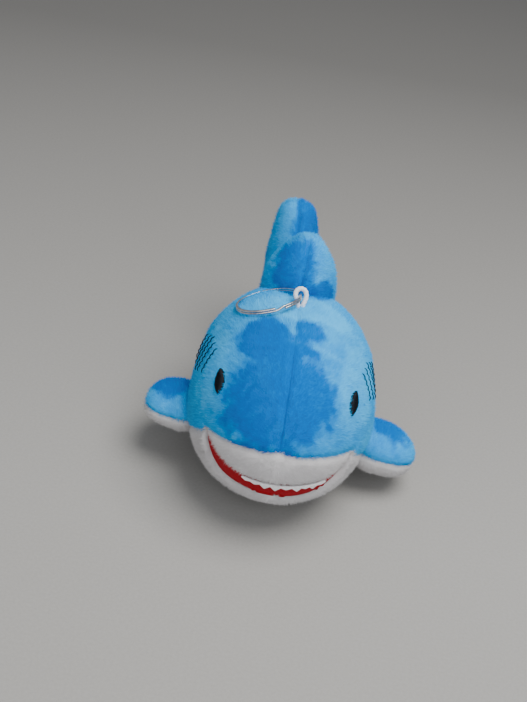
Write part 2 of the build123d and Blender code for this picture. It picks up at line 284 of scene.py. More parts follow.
def bump(mat, shader, height_socket, distance, strength):
    node = add_node(mat, "ShaderNodeBump", Distance=distance, Strength=strength)
    mat.node_tree.links.new(height_socket, node.inputs["Height"])
    mat.node_tree.links.new(node.outputs["Normal"], shader.inputs["Normal"])


def ramp(mat, source, stops):
    node = add_node(mat, "ShaderNodeValToRGB")
    elements = node.color_ramp.elements
    while len(elements) < len(stops):
        elements.new(0.5)
    for element, (place, colour) in zip(elements, stops):
        element.position = place
        element.color = (*colour, 1)
    mat.node_tree.links.new(source, node.inputs["Fac"])
    return node


def noise_colours(mat, shader, noise_texture, stops):
    """Colours a material by a noise texture."""
    colours = ramp(mat, noise_texture.outputs["Fac"], stops)
    mat.node_tree.links.new(colours.outputs["Color"], shader.inputs["Base Color"])


def backing_material(name, shades):
    """The pile's root layer: the tone painted on the mesh (on the blue cloth random tone with painted
    nap shade and painted highlights), broken up by fine fibre noise.
    """
    mat, shader = principled(name, shades[1], 1.0, specular=0.0)
    links = mat.node_tree.links
    tone = add_node(mat, "ShaderNodeAttribute", attribute_name="tone")
    fine = object_noise(mat, 2600, 3.0)
    mix = add_node(mat, "ShaderNodeMath", operation="MULTIPLY_ADD")
    mix.inputs[1].default_value = 0.34
    links.new(fine.outputs["Fac"], mix.inputs[0])
    shift = add_node(mat, "ShaderNodeMath", operation="SUBTRACT")
    shift.inputs[1].default_value = 0.20
    links.new(tone.outputs["Fac"], shift.inputs[0])
    links.new(shift.outputs[0], mix.inputs[2])
    colours = ramp(mat, mix.outputs[0], [(0.0, shades[0]), (0.5, shades[1]), (1.0, shades[2])])
    links.new(colours.outputs["Color"], shader.inputs["Base Color"])
    bump(mat, shader, fine.outputs["Fac"], 0.0004, 0.6)
    return mat


def pile_materials(name, shades):
    """One plain material per tone, for the standing fibres."""
    mats = []
    for i in range(TONES):
        t = i / (TONES - 1) * 2
        low, high, part = (shades[0], shades[1], t) if t < 1 else (shades[1], shades[2], t - 1)
        colour = tuple(a + (b - a) * part for a, b in zip(low, high))
        mat, _ = principled(f"{name}_{i}", colour, 1.0, specular=0.0)
        mats.append(mat)
    return mats


BLUE_BACKING = backing_material("blue_backing", BLUE)
WHITE_BACKING = backing_material("white_backing", WHITE)
BLUE_PILE = pile_materials("blue_fibre", BLUE)
WHITE_PILE = pile_materials("white_fibre", WHITE)


def fibre_material(name, base, stops, texture, relief, roughness,
                   sheen=0.0, tint=(1, 1, 1), specular=0.25):
    """Felt or yarn: one fine noise gives both its colours and its relief."""
    mat, shader = principled(name, base, roughness, sheen, tint, specular=specular)
    fine = object_noise(mat, *texture)
    noise_colours(mat, shader, fine, stops)
    bump(mat, shader, fine.outputs["Fac"], *relief)
    return mat


def felt_material(name, dark, light):
    return fibre_material(name, light, [(0.3, dark), (0.7, light)], (1500, 6.0, 0.7), (0.0003, 0.7),
                          0.95, 0.2, light)


RED_FELT = felt_material("red_felt", (0.20, 0.000, 0.004), (0.37, 0.003, 0.010))
WHITE_FELT = felt_material("white_felt", (0.55, 0.54, 0.55), (0.80, 0.79, 0.80))
FIBRE_FILL = felt_material("fibre_fill", (0.60, 0.60, 0.58), (0.82, 0.82, 0.80))


def steel_material():
    mat, shader = principled("nickel_steel", (0.62, 0.64, 0.66), 0.22, metallic=1.0)
    wear = object_noise(mat, 700, 5.0)
    spread = add_node(mat, "ShaderNodeMapRange", **{"To Min": 0.14, "To Max": 0.34})
    mat.node_tree.links.new(wear.outputs["Fac"], spread.inputs["Value"])
    mat.node_tree.links.new(spread.outputs["Result"], shader.inputs["Roughness"])
    noise_colours(mat, shader, wear, [(0.3, (0.46, 0.48, 0.50)), (0.6, (0.66, 0.68, 0.70))])
    return mat


THREAD = fibre_material("black_thread", (0.002, 0.003, 0.006),
                        [(0.3, (0.001, 0.002, 0.004)), (0.8, (0.005, 0.007, 0.012))],
                        (5000, 2.0), (0.0001, 0.4), 0.5, specular=0.12)
CORD = fibre_material("white_cord", (0.74, 0.75, 0.80),
                      [(0.3, (0.62, 0.63, 0.69)), (0.7, (0.84, 0.85, 0.88))],
                      (3500, 2.0), (0.0001, 0.4), 0.45, 0.2)
STEEL = steel_material()


# ============================ tones and pile ============================
# patches of painted light and shade on the pile, where the brushed nap looks darker or lighter in the
# light: centre, radii and how much darker (or lighter, below 0) they are
PAINTED_NAP_SHADING = (
    ((-2.5, -55.0, 55.0), (19.5, 17.0, 30.0), 0.62),      # painted nap shade on the forehead, from the cross dart to the muzzle
    ((-11.5, -33.0, 62.0), (8.5, 10.5, 20.0), 0.62),      # it runs on behind the dart on the right side
    ((5.0, -28.5, 63.0), (6.0, 6.2, 20.0), 0.60),         # and ends in a lobe on the left
    ((-4.0, -38.0, 62.0), (11.0, 7.0, 20.0), 0.55),       # across the dart, joining these three
    ((0.5, -13.0, 66.0), (26.0, 9.0, 16.0), -0.22),       # painted highlight on the top of the head
    ((25.0, -38.0, 52.0), (8.5, 22.0, 14.0), -0.16),      # painted highlight on the flanks
    ((-28.0, -34.0, 50.0), (7.0, 20.0, 14.0), -0.14),
    ((8.0, -36.6, 64.0), (10.5, 1.3, 8.0), -0.10),        # painted highlight: a light fringe along the dart
    ((-2.0, 10.0, 66.0), (8.0, 12.0, 13.0), 0.60),        # painted nap shade on the dorsal fin
    ((8.0, 6.0, 60.5), (5.5, 8.0, 6.0), 0.55),            # painted nap shade on the back at its left foot
    ((1.0, 60.0, 61.0), (6.0, 14.0, 13.0), 0.60),         # painted nap shade on the tail
    ((42.0, -21.0, 16.0), (9.5, 11.0, 10.0), 0.58),       # painted nap shade on the pectoral fins
    ((-40.0, -21.0, 20.0), (9.0, 11.0, 10.0), 0.64),
)


# The blue pile's tone: random lumps of tone, with the painted nap shade and painted highlights of the
# patches above.
def blue_tone_and_nap_shading(p):
    tone = 0.66 + 0.12 * lumps(p, 13.0, 3.1) + 0.09 * lumps(p, 5.0, 8.2) + 0.09 * lumps(p, 1.7, 2.9)
    for centre, radii, depth in PAINTED_NAP_SHADING:
        away = np.linalg.norm((p - np.array(centre)) / np.array(radii), axis=1)
        away = away + 0.20 * lumps(p, 4.5, 1.7) + 0.14 * lumps(p, 2.0, 6.3)
        edge = np.clip((1.14 - away) / 0.34, 0, 1)
        tone = tone - depth * edge * edge * (3 - 2 * edge)
    return np.clip(tone, 0.02, 0.98)


def white_tone(p):
    return np.clip(0.62 + 0.18 * lumps(p, 9.0, 5.5) + 0.10 * lumps(p, 3.5, 2.2), 0, 1)


def paint_tone(obj, tone):
    attribute = obj.data.attributes.new("tone", "FLOAT", "POINT")
    attribute.data.foreach_set("value", tone.astype(np.float32))


def inside_body(p):
    r = body_radius(p[:, 1])
    out = np.hypot(p[:, 0], p[:, 2] - BODY_AXIS_Z)
    return (out < r - 0.6) & (p[:, 1] < STOCK_END_Y)


def scatter(gen, verts, faces, density):
    """Random points spread evenly over a surface, and the smooth normal at each."""
    mesh = bare_mesh(verts, faces)
    mesh.calc_loop_triangles()
    tris = np.empty(len(mesh.loop_triangles) * 3, dtype=np.int64)
    mesh.loop_triangles.foreach_get("vertices", tris)
    tris = tris.reshape(-1, 3)
    normal = normals_of(mesh)
    bpy.data.meshes.remove(mesh)
    co = np.asarray(verts)
    a, b, c = co[tris[:, 0]], co[tris[:, 1]], co[tris[:, 2]]
    area = np.linalg.norm(np.cross(b - a, c - a), axis=1) / 2
    total = int(area.sum() * density)
    pick = np.searchsorted(np.cumsum(area), gen.random(total) * area.sum())
    pick = np.minimum(pick, len(tris) - 1)
    u, v = gen.random(total), gen.random(total)
    flip = u + v > 1
    u[flip], v[flip] = 1 - u[flip], 1 - v[flip]
    weights = np.stack([1 - u - v, u, v], axis=1)[:, :, None]
    return (co[tris[pick]] * weights).sum(1), unit((normal[tris[pick]] * weights).sum(1))


def blade_shapes(gen, root, up, seed):
    """The three corners of each fibre, leaning along the nap, and the normal it is shaded with."""
    total = len(root)
    lay = nap_back(root)
    lay = unit(lay - up * (lay * up).sum(1, keepdims=True))
    wave = lumps(root, 6.0, seed * 0.37)[:, None]
    swirl = np.cross(up, lay)
    stray = gen.normal(0, 0.22, (total, 3))
    direction = unit(up * 0.62 + lay * (0.62 + 0.25 * wave) + swirl * (0.35 * wave) + stray)
    reach = PILE_LENGTH * gen.uniform(0.65, 1.15, (total, 1))
    side = unit(np.cross(direction, up))
    half = side * PILE_WIDTH / 2 * gen.uniform(0.7, 1.3, (total, 1))
    base = root - up * PILE_SUNK
    tip = root + direction * reach
    tip[:, 2] = np.maximum(tip[:, 2], FLOOR_CLEARANCE)
    points = np.stack([base + half, base - half, tip], axis=1)
    # wind each blade so that its face looks outwards
    facing = np.cross(points[:, 1] - points[:, 0], points[:, 2] - points[:, 0])
    wrong = (facing * up).sum(1) < 0
    points[wrong, 0], points[wrong, 1] = points[wrong, 1].copy(), points[wrong, 0].copy()
    facing[wrong] *= -1
    return points, unit(up * 0.75 + unit(facing) * 0.35)


def grow_pile(name, verts, faces, tone_of, mats, seed, keep):
    """Short fibres as single triangles standing on a surface wherever keep allows."""
    gen = np.random.default_rng(seed)
    root, up = scatter(gen, verts, faces, PILE_DENSITY)
    mask = keep(root)
    root, up = root[mask], up[mask]
    total = len(root)
    points, shade_normal = blade_shapes(gen, root, up, seed)
    tone = tone_of(root) + gen.normal(0, 0.07, total)
    slot = np.clip((tone * TONES).astype(int), 0, TONES - 1)
    blades = bpy.data.meshes.new(name)
    blades.vertices.add(total * 3)
    blades.vertices.foreach_set("co", (points * MM).ravel())
    blades.loops.add(total * 3)
    blades.loops.foreach_set("vertex_index", np.arange(total * 3, dtype=np.int32))
    blades.polygons.add(total)
    blades.polygons.foreach_set("loop_start", np.arange(0, total * 3, 3, dtype=np.int32))
    blades.polygons.foreach_set("material_index", slot.astype(np.int32))
    blades.update(calc_edges=True)
    for mat in mats:
        blades.materials.append(mat)
    blades.shade_smooth()
    blades.normals_split_custom_set_from_vertices(np.repeat(shade_normal, 3, axis=0).tolist())
    return new_object(name, blades)


def nap_back(p):
    """On the body and fins the pile lies towards the tail and a little down."""
    lay = np.zeros_like(p)
    lay[:, 1] = 1.0
    lay[:, 2] = -0.25
    lay[:, 0] = np.sign(p[:, 0]) * 0.25
    return lay


# ============================ body ============================
def body_radius(y):
    """Radius of the body at each y."""
    y = np.asarray(y, dtype=float)
    nose_y = NOSE_Y + NOSE_RADIUS
    side = tangent_radius(BODY_RADIUS, NOSE_RADIUS, WIDEST_Y - nose_y)
    turn = np.array([nose_y - WIDEST_Y, BODY_RADIUS - side])
    cheek_y = nose_y + NOSE_RADIUS * turn[0] / np.hypot(*turn)
    run = STOCK_START_Y - WIDEST_Y
    back_turn = np.array([math.sqrt(BACK_RADIUS ** 2 - run ** 2), run]) / BACK_RADIUS
    start = np.array([BODY_RADIUS - BACK_RADIUS, WIDEST_Y]) + back_turn * BACK_RADIUS
    chord = np.array([STOCK_RADIUS, STOCK_END_Y]) - start
    hollow = chord.dot(chord) / (2 * chord.dot(back_turn))
    hollow_centre = start + back_turn * hollow

    def arc(radius, x, centre_y, sign=1.0):
        return x + sign * np.sqrt(np.maximum(radius ** 2 - (y - centre_y) ** 2, 0))

    r = np.where(y < cheek_y, arc(NOSE_RADIUS, 0.0, nose_y),
                 arc(side, BODY_RADIUS - side, WIDEST_Y))
    r = np.where(y > WIDEST_Y, arc(BACK_RADIUS, BODY_RADIUS - BACK_RADIUS, WIDEST_Y), r)
    r = np.where(y > STOCK_START_Y, arc(abs(hollow), hollow_centre[0], hollow_centre[1], -1.0), r)
    cap = np.sqrt(np.maximum(1 - ((y - STOCK_END_Y) / TAIL_CAP) ** 2, 0)) * STOCK_RADIUS
    r = np.where(y > STOCK_END_Y, cap, r)
    return r


def body_surface():
    """Points and quads of the undented body, spread evenly along its outline."""
    directions, quads = sphere_grid(BODY_GRID)
    turn = np.linspace(0, 1, 600)
    span = STOCK_END_Y + TAIL_CAP - NOSE_Y
    y = NOSE_Y + span * (1 - np.cos(turn * math.pi)) / 2
    at_y, at_r = along_profile(y, body_radius(y), -directions[:, 1])
    around = unit(directions[:, [0, 2]] + 1e-12)
    x = at_r * around[:, 0]
    z = BODY_AXIS_Z + at_r * around[:, 1]
    low = z < BELLY_SOFTNESS
    z = np.where(low, BELLY_SOFTNESS * np.exp((z - BELLY_SOFTNESS) / BELLY_SOFTNESS), z)
    return np.stack([x, at_y, z], axis=1), quads


def face_height(x, centre_z, power):
    part = np.minimum(np.abs(x) / CORNER_X, 1.0)
    return centre_z + (CORNER_Z - centre_z) * part ** power


def blue_field(p):
    """Above zero on the blue back, below on the white muzzle and belly."""
    brow = face_height(p[:, 0], BROW_Z, BROW_POWER) + 0.9 * np.exp(-(p[:, 0] / 3.0) ** 2)
    side = np.interp(p[:, 1], SIDE_SEAM_Y, SIDE_SEAM_Z)
    on_face = (np.abs(p[:, 0]) < CORNER_X) & (p[:, 1] < FACE_END_Y)
    return p[:, 2] - np.where(on_face, brow, side)


def lip_height(x, centre_z, powers):
    return face_height(x, centre_z, np.where(x > 0, powers[1], powers[-1]))


def lip_field(p, centre_z, powers):
    """Above zero over a lip line, below under it; -1 behind the face."""
    return np.where(p[:, 1] < FACE_END_Y, p[:, 2] - lip_height(p[:, 0], centre_z, powers), -1.0)


def upper_lip(p):
    return lip_field(p, LIP_TOP_Z, LIP_TOP_POWER)


def lower_lip(p):
    return lip_field(p, LIP_BOTTOM_Z, LIP_BOTTOM_POWER)


BACK_LEFT, BACK_RIGHT, MUZZLE, MOUTH, BELLY = range(5)


def body_region(p):
    region = np.full(len(p), BELLY)
    region[lower_lip(p) > 0] = MOUTH
    region[upper_lip(p) > 0] = MUZZLE
    blue = blue_field(p) > 0
    region[blue & (p[:, 0] > 0)] = BACK_LEFT
    region[blue & (p[:, 0] <= 0)] = BACK_RIGHT
    return region


def groove(distance, depth=SEAM_DEPTH, width=SEAM_WIDTH):
    return depth * np.exp(-(distance / width) ** 2)


def seam_dents(p, blue, within):
    """How far the seams, the cross dart and the mouth sink below the smooth body."""
    inward = np.maximum(groove(blue), groove(p[:, 0], CENTRE_SEAM_DEPTH, 1.15) * (blue > 0))
    up, down = upper_lip(p), lower_lip(p)
    inward = np.where(within, np.maximum(inward, np.maximum(groove(up), groove(down))), inward)
    inward = np.where(within & (up < 0) & (down > 0), np.maximum(inward, MOUTH_DEPTH), inward)
    fade = np.where(p[:, 0] > 0, 1 - p[:, 0] / DART_LEFT_X, 1 + p[:, 0] / DART_RIGHT_X)
    dart = groove(p[:, 1] - DART_Y, DART_DEPTH, 1.6) * np.clip(fade, 0, 1) * (p[:, 2] > 48)
    return np.maximum(inward, dart)


def body_dents(p):
    """How far each point sinks below the smooth body, over all."""
    blue = blue_field(p)
    within = (p[:, 1] < FACE_END_Y) & (np.abs(p[:, 0]) < CORNER_X)
    down = lower_lip(p)
    seam_near = np.exp(-np.minimum(np.abs(blue), np.abs(p[:, 0]) + 99 * (blue < 0)) / 4.0)
    pucker = 0.28 * seam_near * lumps(p, 2.6, 4.4)
    swell = 0.55 * lumps(p, 22.0, 0.3) + 0.22 * lumps(p, 8.0, 6.1)
    lip_roll = np.where(within & (down < 0), -0.5 * np.exp(-((down + 2.0) / 1.6) ** 2), 0)
    chin = CHIN_TUCK * np.clip((19.0 - p[:, 2]) / 6.0, 0, 1) * np.clip((-48.0 - p[:, 1]) / 8.0, 0, 1)
    shoulder = (SHOULDER_SWELL * np.exp(-((p[:, 1] - SHOULDER_Y) / SHOULDER_LENGTH) ** 2)
                * np.clip((p[:, 2] - 34.0) / 10.0, 0, 1) * np.clip(np.abs(p[:, 0]) / 14.0, 0, 1))
    return seam_dents(p, blue, within) + pucker + chin - shoulder - swell * (p[:, 2] > 3) + lip_roll


def build_body():
    verts, quads = body_surface()
    whole = mesh_object("body_whole", verts, quads)
    bm = bmesh.new()
    bm.from_mesh(whole.data)
    bmesh.ops.recalc_face_normals(bm, faces=bm.faces)
    for field in (blue_field, upper_lip, lower_lip):
        cut_along(bm, field)
    bm.to_mesh(whole.data)
    bm.free()
    flat = points_of(whole.data)
    centres = np.array([q.center[:] for q in whole.data.polygons]) / MM
    region = body_region(centres)
    moved = flat - normals_of(whole.data) * body_dents(flat)[:, None]
    moved[:, 2] = np.maximum(moved[:, 2], CLOTH_FLOOR_Z)
    whole.data.vertices.foreach_set("co", (moved * MM).ravel())
    whole.data.update()
    pieces = split_regions(whole, lambda _: region)
    skin = BVHTree.FromPolygons([Vector(p) for p in moved],
                                [q.vertices[:] for q in whole.data.polygons])
    bpy.data.objects.remove(whole)
    return pieces, skin


def finish_panel(name, nodes, body, verts, faces, backing, tone_of):
    """One sewn panel with its thickness, painted with the tone of its pile."""
    obj = mesh_object(name, verts, faces)
    paint_tone(obj, tone_of(np.asarray(verts)))
    obj.data.materials.append(backing)
    thicken(obj, CLOTH_THICKNESS)
    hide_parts(*nodes)
    if body:
        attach(obj, body)
    return obj


def clear_of_stitches(p):
    """Where pile can stand: above the floor, beside the gill stripes and outside the eyes."""
    keep = p[:, 2] > PILE_FLOOR_Z
    along = unit(np.array(GILL_TOP) - np.array(GILL_BOTTOM))
    for middle, length in gill_stripes():
        away = p[:, 1:] - np.array(middle)
        part = np.clip(away @ along, -length / 2, length / 2)
        keep &= np.linalg.norm(away - part[:, None] * along, axis=1) > GILL_PARTING
    for side in (-1, 1):
        away = p - np.array(EYE_CENTRE) * np.array([side, 1, 1])
        part = (away @ np.array(EYE_LONG_AXIS)) / EYE_HALF_LENGTH
        width = EYE_HALF_WIDTH * np.sqrt(np.clip(1 - part ** 2, 0, 1))
        off = np.linalg.norm(away - part[:, None] * np.array(EYE_LONG_AXIS) * EYE_HALF_LENGTH, axis=1)
        keep &= off > width
    return keep


BLUE_CLOTH = (BLUE_BACKING, blue_tone_and_nap_shading, "blue_pile", BLUE_PILE)
WHITE_CLOTH = (WHITE_BACKING, white_tone, "white_pile", WHITE_PILE)


def make_body_panels(pieces):
    table = (
        (BACK_LEFT, "back_panel_left", BLUE_CLOTH),
        (BACK_RIGHT, "back_panel_right", BLUE_CLOTH),
        (MUZZLE, "muzzle_panel", WHITE_CLOTH),
        (BELLY, "belly_panel", WHITE_CLOTH),
        (MOUTH, "mouth_lining", (RED_FELT, white_tone, "red_felt", None)),
    )
    for number, name, (backing, tone_of, slot, fibres) in table:
        verts, faces = pieces[number]
        panel = finish_panel(name + "_cloth", [name], "body", verts, faces, backing, tone_of)
        if fibres:
            pile = grow_pile(name + "_nap", verts, faces, tone_of, fibres, BODY_SEED + number,
                             clear_of_stitches)
            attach(pile, "body")


# ============================ fins ============================
DORSAL = dict(hinge=(0.0, 14.0, 55.5), root=14.2, reach=23.7, tip=5.8, lean=12.0, tilt=3.5)
# by side: 1 is the shark's left, -1 its right
PECTORAL_HINGE = {1: (33.5, -23.0, 16.0), -1: (-33.3, -23.0, 19.6)}
PECTORAL_DROOP = {1: 13.0, -1: -2.0}
PECTORAL_REACH = {1: 20.6, -1: 16.6}
PECTORAL_INNER, PECTORAL_CHORD = -7.0, 27.0
PECTORAL_THICK = {1: (8.6, 8.2), -1: (7.6, 6.0)}   # at the root and the tip, above and below the seam
PECTORAL_SWEEP, PECTORAL_PITCH = 10.0, 10.0
TAIL_ROOT_CENTRE, TAIL_ROOT = (0.0, 45.5, 31.5), 11.0
TAIL_LOBES = (
    dict(hinge=(0.0, 53.5, 38.5), root=11.2, reach=33.0, tip=8.0, lean=24.3),
    dict(hinge=(0.0, 53.5, 25.5), root=8.6, reach=17.2, tip=5.4, lean=141.0),
)
TAIL_HINGE_Y, TAIL_BEND = 44.0, 10.0               # the tail is bent to the shark's right
FIN_GRID = 40
STUFFING_INSET = 2.3


def bullet_surface(spec, inset=0.0):
    """A round-bottomed cone with a round tip, along its hinge's leaning axis."""
    root, tip, reach = spec["root"] - inset, spec["tip"] - inset, spec["reach"] - inset
    directions, quads = sphere_grid(FIN_GRID)
    centre = reach - tip
    flank = tangent_radius(root, tip, centre)
    height = reach - (reach + root) * (1 - np.cos(np.linspace(0, 1, 300) * math.pi)) / 2
    radius = root - flank + np.sqrt(np.maximum(flank ** 2 - height ** 2, 0))
    radius = np.where(height < 0, np.sqrt(np.maximum(root ** 2 - height ** 2, 0)), radius)
    end = np.sqrt(np.maximum(tip ** 2 - (height - centre) ** 2, 0))
    radius = np.where(height > flank * centre / (flank - tip), end, radius)
    at_h, at_r = along_profile(height, radius, directions[:, 2])
    around = unit(directions[:, :2] + 1e-12)
    local = np.stack([at_r * around[:, 0], at_r * around[:, 1], at_h], axis=1)
    tilt = Matrix.Rotation(math.radians(spec.get("tilt", 0.0)), 3, "Y")
    turn = np.array(tilt @ Matrix.Rotation(math.radians(-spec["lean"]), 3, "X"))
    return local @ turn.T + np.array(spec["hinge"]), quads


def pectoral_surface(side, inset=0.0):
    """A plump paddle, pinched along its edge where its two panels are sewn together."""
    directions, quads = sphere_grid(FIN_GRID)
    flat = np.hypot(directions[:, 0], directions[:, 1])
    plan = unit(directions[:, :2] + 1e-12)
    outline = (np.abs(plan) ** 2.6).sum(1) ** (-1 / 2.6)
    pinch = 1 - 0.045 * np.exp(-(directions[:, 2] / 0.10) ** 2)
    middle = (PECTORAL_REACH[side] + PECTORAL_INNER) / 2
    half_x = (PECTORAL_REACH[side] - PECTORAL_INNER) / 2 - inset
    half_y = PECTORAL_CHORD / 2 - inset
    grow = outline * flat ** 0.9 * pinch
    x = middle + half_x * plan[:, 0] * grow
    y = half_y * plan[:, 1] * grow
    taper = np.interp(x, (0, PECTORAL_REACH[side]), PECTORAL_THICK[side])
    z = np.sign(directions[:, 2]) * np.abs(directions[:, 2]) ** 0.85 * (taper - inset)
    return np.stack([x, y, z], axis=1) @ pectoral_turn(side).T + np.array(PECTORAL_HINGE[side]), quads


def pectoral_turn(side):
    sweep = PECTORAL_SWEEP if side > 0 else 180 - PECTORAL_SWEEP
    droop = Matrix.Rotation(math.radians(PECTORAL_DROOP[side]), 3, "Y")
    pitch = Matrix.Rotation(math.radians(-side * PECTORAL_PITCH), 3, "X")
    return np.array(Matrix.Rotation(math.radians(sweep), 3, "Z") @ droop @ pitch)


def tail_surface(inset=0.0):
    """The tail's root and both lobes, melted into one skin."""
    ball = dict(hinge=TAIL_ROOT_CENTRE, root=TAIL_ROOT, reach=TAIL_ROOT, tip=TAIL_ROOT - 0.5, lean=0.0)
    verts, faces = [], []
    for spec in (ball, *TAIL_LOBES):
        points, quads = bullet_surface(spec, inset)
        faces += [tuple(v + len(verts) for v in q) for q in quads]
        verts += points.tolist()
    obj = mesh_object("tail_whole", verts, faces)
    remesh = obj.modifiers.new("melt", "REMESH")
    remesh.mode = "VOXEL"
    remesh.voxel_size = 0.65 * MM
    soften = obj.modifiers.new("soften", "SMOOTH")
    soften.factor = 0.5
    soften.iterations = 28
    apply_modifiers(obj)
    bm = bmesh.new()
    bm.from_mesh(obj.data)
    cut_along(bm, lambda p: p[:, 0])
    bm.to_mesh(obj.data)
    bm.free()
    verts = points_of(obj.data)
    faces = [tuple(q.vertices) for q in obj.data.polygons]
    bpy.data.objects.remove(obj)
    bend = np.array(Matrix.Rotation(math.radians(TAIL_BEND), 3, "Z"))
    hinge = np.array([0, TAIL_HINGE_Y, 0])
    return (verts - hinge) @ bend.T + hinge, faces


def dorsal_side(p):
    """Distance from the tilted dorsal fin's centre plane, above zero on the shark's left."""
    tilt = math.radians(DORSAL["tilt"])
    return p[:, 0] * math.cos(tilt) - (p[:, 2] - DORSAL["hinge"][2]) * math.sin(tilt)


def tail_side(p):
    """Distance from the bent tail's centre plane, above zero on the shark's left."""
    bend = math.radians(TAIL_BEND)
    return p[:, 0] * math.cos(bend) + (p[:, 1] - TAIL_HINGE_Y) * math.sin(bend)


def seam_and_lumps(verts, faces, distance, depth, seed):
    """Sinks the seam and gives the stuffing its soft lumps."""
    mesh = bare_mesh(verts, faces)
    normal = normals_of(mesh)
    bpy.data.meshes.remove(mesh)
    along = np.exp(-np.abs(distance) / 3.5)
    sink = groove(distance, depth, 1.1) + 0.22 * along * lumps(verts, 2.4, seed)
    swell = 0.35 * lumps(verts, 9.0, seed + 2.0)
    return verts + normal * (swell - sink)[:, None]


def make_fin(fin, body, surface, side_of, panels, stuffing, seed):
    """Two sewn panels with pile, and the filling inside."""
    verts, faces = surface(0.0)
    distance = side_of(verts)
    depth = 0.0 if fin.startswith("pectoral") else FIN_SEAM_DEPTH
    verts = seam_and_lumps(verts, faces, distance, depth, seed)
    whole = mesh_object(fin + "_whole", verts, faces)
    region = side_of(np.array([q.center[:] for q in whole.data.polygons]) / MM) > 0
    pieces = split_regions(whole, lambda _: region)
    bpy.data.objects.remove(whole)
    for number, (node, (backing, tone_of, colour, fibres)) in enumerate(panels):
        part_verts, part_faces = pieces[number == 0]
        cloth = finish_panel(node + "_cloth", [node], None, part_verts, part_faces,
                             backing, tone_of)
        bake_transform(cloth)
        pile = grow_pile(node + "_nap", part_verts, part_faces, tone_of, fibres, seed + number,
                         lambda q: ~inside_body(q))
        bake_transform(pile)
    make_stuffing(stuffing, body, *surface(STUFFING_INSET), seed)


def make_stuffing(node, body, verts, faces, seed):
    """Loose fibre filling: a lumpy clump inside the cloth."""
    verts = np.asarray(verts)
    middle = verts.mean(0)
    clump = 0.45 * lumps(verts, 3.2, seed + 0.5) + 0.25 * lumps(verts, 1.3, seed + 0.9)
    verts = verts + unit(verts - middle) * (clump - 0.3)[:, None]
    fill = mesh_object(node + "_fibres", verts, faces)
    fill.data.materials.append(FIBRE_FILL)
    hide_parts(node)
    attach(fill, body)


def make_body_stuffing():
    verts, quads = body_surface()
    middle = np.array([0, -20, BODY_AXIS_Z])
    verts = middle + (verts - middle) * np.array([0.915, 0.90, 0.905])
    make_stuffing("body_stuffing", "body", verts, quads, 61)


def make_fins():
    make_fin("dorsal", "dorsal_fin", lambda inset: bullet_surface(DORSAL, inset), dorsal_side,
             (("dorsal_fin_left_panel", BLUE_CLOTH), ("dorsal_fin_right_panel", BLUE_CLOTH)),
             "dorsal_fin_stuffing", 31)
    make_fin("tail", "tail_fin", tail_surface, tail_side,
             (("tail_fin_left_panel", BLUE_CLOTH), ("tail_fin_right_panel", BLUE_CLOTH)),
             "tail_fin_stuffing", 41)
    for side, name in ((1, "left"), (-1, "right")):
        fin = "pectoral_fin_" + name
        top = pectoral_turn(side)[:, 2]
        place = np.array(PECTORAL_HINGE[side])
        make_fin("pectoral_" + name, fin,
                 lambda inset, side=side: pectoral_surface(side, inset),
                 lambda p, top=top, place=place: (p - place) @ top,
                 ((fin + "_top", BLUE_CLOTH), (fin + "_underside", WHITE_CLOTH)),
                 fin + "_stuffing", 51 + side)


# ============================ stitched and felt details ============================
EYE_CENTRE, EYE_LONG_AXIS = (24.0, -46.5, 50.4), (0.0, 0.866, 0.5)
EYE_HALF_WIDTH, EYE_HALF_LENGTH, EYE_STAND = 2.5, 4.8, 1.5
EYE_GRID = 40, 4, 15                # threads, rows for each of them, and columns across
# the middle stripe's ends and the step from each stripe to the one behind it, as (y, z)
GILL_TOP, GILL_BOTTOM, GILL_STEP, GILL_COUNT = (-22.5, 51.5), (-29.5, 41.5), (4.5, -1.6), 5
GILL_STITCH, GILL_THREAD, GILL_PARTING = 1.7, 0.21, 0.38
STITCH_END = 0.66                   # a stitch's end from its middle, as part of the stitch length
TOOTH_X = (-9.4, -6.2, -2.6, 1.1, 4.8, 8.6, 11.4, 13.9, 16.6)
TOOTH_DEPTHS = (0.9, 1.1, 2.0, 2.2, 1.2, 2.1, 1.1, 1.9, 0.8)
TOOTH_HALF_WIDTH, TOOTH_STRIP, TOOTH_NOTCH, FELT = 1.5, 0.3, 0.35, 0.8
STRAY_THREAD = 0.16                 # radius of the loose end


def on_body(p, stand):
    """The nearest place on the sewn body to p, lifted by stand, and the direction outwards there."""
    place, normal, _, _ = SKIN.find_nearest(Vector(p))
    return np.array(place + normal * stand), np.array(normal)


